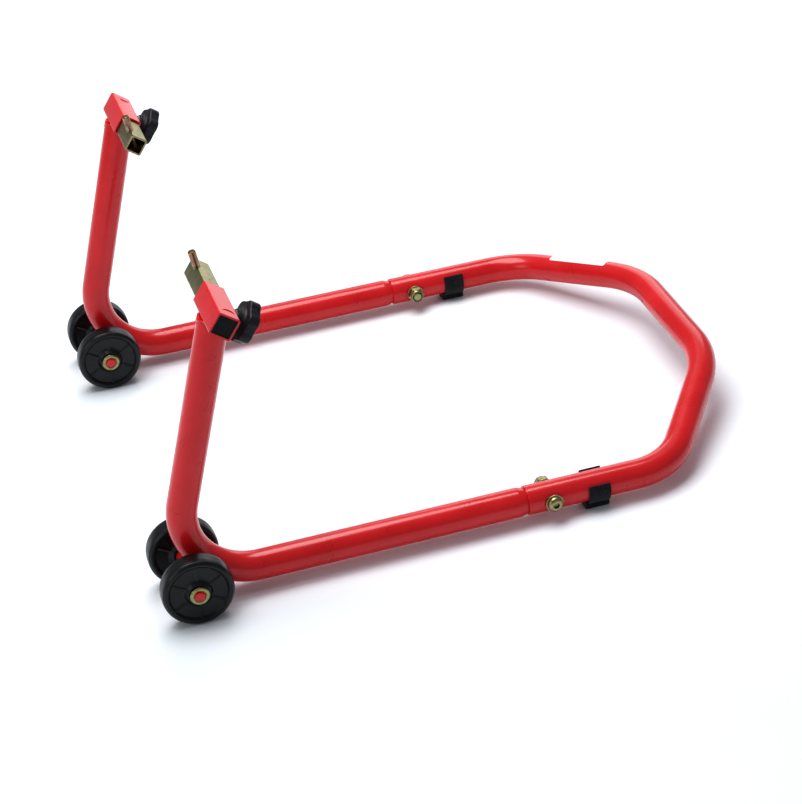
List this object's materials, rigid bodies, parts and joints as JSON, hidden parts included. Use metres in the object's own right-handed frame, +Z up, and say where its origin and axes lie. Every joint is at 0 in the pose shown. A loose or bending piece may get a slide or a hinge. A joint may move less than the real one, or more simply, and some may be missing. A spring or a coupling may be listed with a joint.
{
  "type": "paddock stand",
  "caption": "Bolted red tube motorcycle paddock stand with a U handle, rear wheels, rubber feet and screw-clamped fork-pin adapters.",
  "frame": {"origin": "on the floor, under the middle of the whole stand's box", "axes": "+X from the wheels to the handle, +Z up, -Y the left side of a user standing at the handle and facing the wheels"},
  "size_m": [0.6855, 0.6196, 0.3522],
  "materials": {
    "red_paint": "gloss powder coat",
    "yellow_zinc": "iridescent yellow zinc plating",
    "bronzed_steel": "bronzed zinc plating, satin",
    "plain_steel": "bright zinc",
    "bush_steel": "turned steel",
    "black_nylon": "gloss moulded nylon",
    "black_plastic": "fine-grained moulded plastic",
    "plug_plastic": "satin moulded plastic",
    "black_rubber": "matt rubber",
    "label_white": "satin blank label"
  },
  "bodies": {
    "frame": {"handle_tube": "red_paint", "handle_label": "label_white", "left_arm": "red_paint", "right_arm": "red_paint", "left_axle_lugs": "red_paint", "right_axle_lugs": "red_paint", "left_axle": "red_paint", "right_axle": "red_paint", "left_axle_spacers": "red_paint", "right_axle_spacers": "red_paint", "left_axle_rings": "yellow_zinc", "right_axle_rings": "yellow_zinc", "left_sleeve": "red_paint", "right_sleeve": "red_paint", "left_sleeve_plug": "plug_plastic", "right_sleeve_plug": "plug_plastic", "left_clamp_nut": "red_paint", "right_clamp_nut": "red_paint", "left_joint_bolt": "yellow_zinc", "right_joint_bolt": "yellow_zinc", "left_joint_washers": "yellow_zinc", "right_joint_washers": "yellow_zinc", "left_joint_nut": "yellow_zinc", "right_joint_nut": "yellow_zinc", "left_foot": "black_rubber", "right_foot": "black_rubber"},
    "left_outer_wheel": {"left_outer_wheel": "black_nylon", "left_outer_bush": "bush_steel"},
    "left_inner_wheel": {"left_inner_wheel": "black_nylon", "left_inner_bush": "bush_steel"},
    "right_inner_wheel": {"right_inner_wheel": "black_nylon", "right_inner_bush": "bush_steel"},
    "right_outer_wheel": {"right_outer_wheel": "black_nylon", "right_outer_bush": "bush_steel"},
    "left_adapter": {"left_adapter_tube": "yellow_zinc", "left_fork_pin": "bronzed_steel"},
    "left_clamp_washer": {"left_clamp_washer": "plain_steel"},
    "left_clamp_knob": {"left_clamp_stud": "plain_steel", "left_knob": "black_plastic"},
    "right_adapter": {"right_adapter_tube": "yellow_zinc", "right_fork_pin": "bronzed_steel"},
    "right_clamp_washer": {"right_clamp_washer": "plain_steel"},
    "right_clamp_knob": {"right_clamp_stud": "plain_steel", "right_knob": "black_plastic"}
  },
  "joints": [
    {"name": "left_outer_wheel_spin", "type": "hinge", "parent": "frame", "child": "left_outer_wheel", "pos_m": [-0.30525, -0.256, 0.0375], "axis": [0, 1, 0], "continuous": true},
    {"name": "left_inner_wheel_spin", "type": "hinge", "parent": "frame", "child": "left_inner_wheel", "pos_m": [-0.30525, -0.256, 0.0375], "axis": [0, 1, 0], "continuous": true},
    {"name": "right_inner_wheel_spin", "type": "hinge", "parent": "frame", "child": "right_inner_wheel", "pos_m": [-0.30525, 0.256, 0.0375], "axis": [0, 1, 0], "continuous": true},
    {"name": "right_outer_wheel_spin", "type": "hinge", "parent": "frame", "child": "right_outer_wheel", "pos_m": [-0.30525, 0.256, 0.0375], "axis": [0, 1, 0], "continuous": true},
    {"name": "left_adapter_slide", "type": "slide", "parent": "frame", "child": "left_adapter", "axis": [0, 1, 0], "range_m": [-0.0145, 0.0065]},
    {"name": "left_clamp_travel", "type": "slide", "parent": "frame", "child": "left_clamp_washer", "axis": [0.809, 0, -0.5878], "range_m": [0, 0.005]},
    {"name": "left_knob_turn", "type": "hinge", "parent": "left_clamp_washer", "child": "left_clamp_knob", "pos_m": [-0.23891, -0.256, 0.32216], "axis": [0.809, 0, -0.5878], "range_deg": [0, 1440]},
    {"name": "right_adapter_slide", "type": "slide", "parent": "frame", "child": "right_adapter", "axis": [0, -1, 0], "range_m": [-0.009, 0.012]},
    {"name": "right_clamp_travel", "type": "slide", "parent": "frame", "child": "right_clamp_washer", "axis": [0.809, 0, -0.5878], "range_m": [0, 0.005]},
    {"name": "right_knob_turn", "type": "hinge", "parent": "right_clamp_washer", "child": "right_clamp_knob", "pos_m": [-0.23891, 0.256, 0.32216], "axis": [0.809, 0, -0.5878], "range_deg": [0, 1440]}
  ],
  "couplings": [
    {"joint": "left_knob_turn", "follows": "left_clamp_travel", "rad_per_m": 5026.5},
    {"joint": "right_knob_turn", "follows": "right_clamp_travel", "rad_per_m": 5026.5}
  ]
}
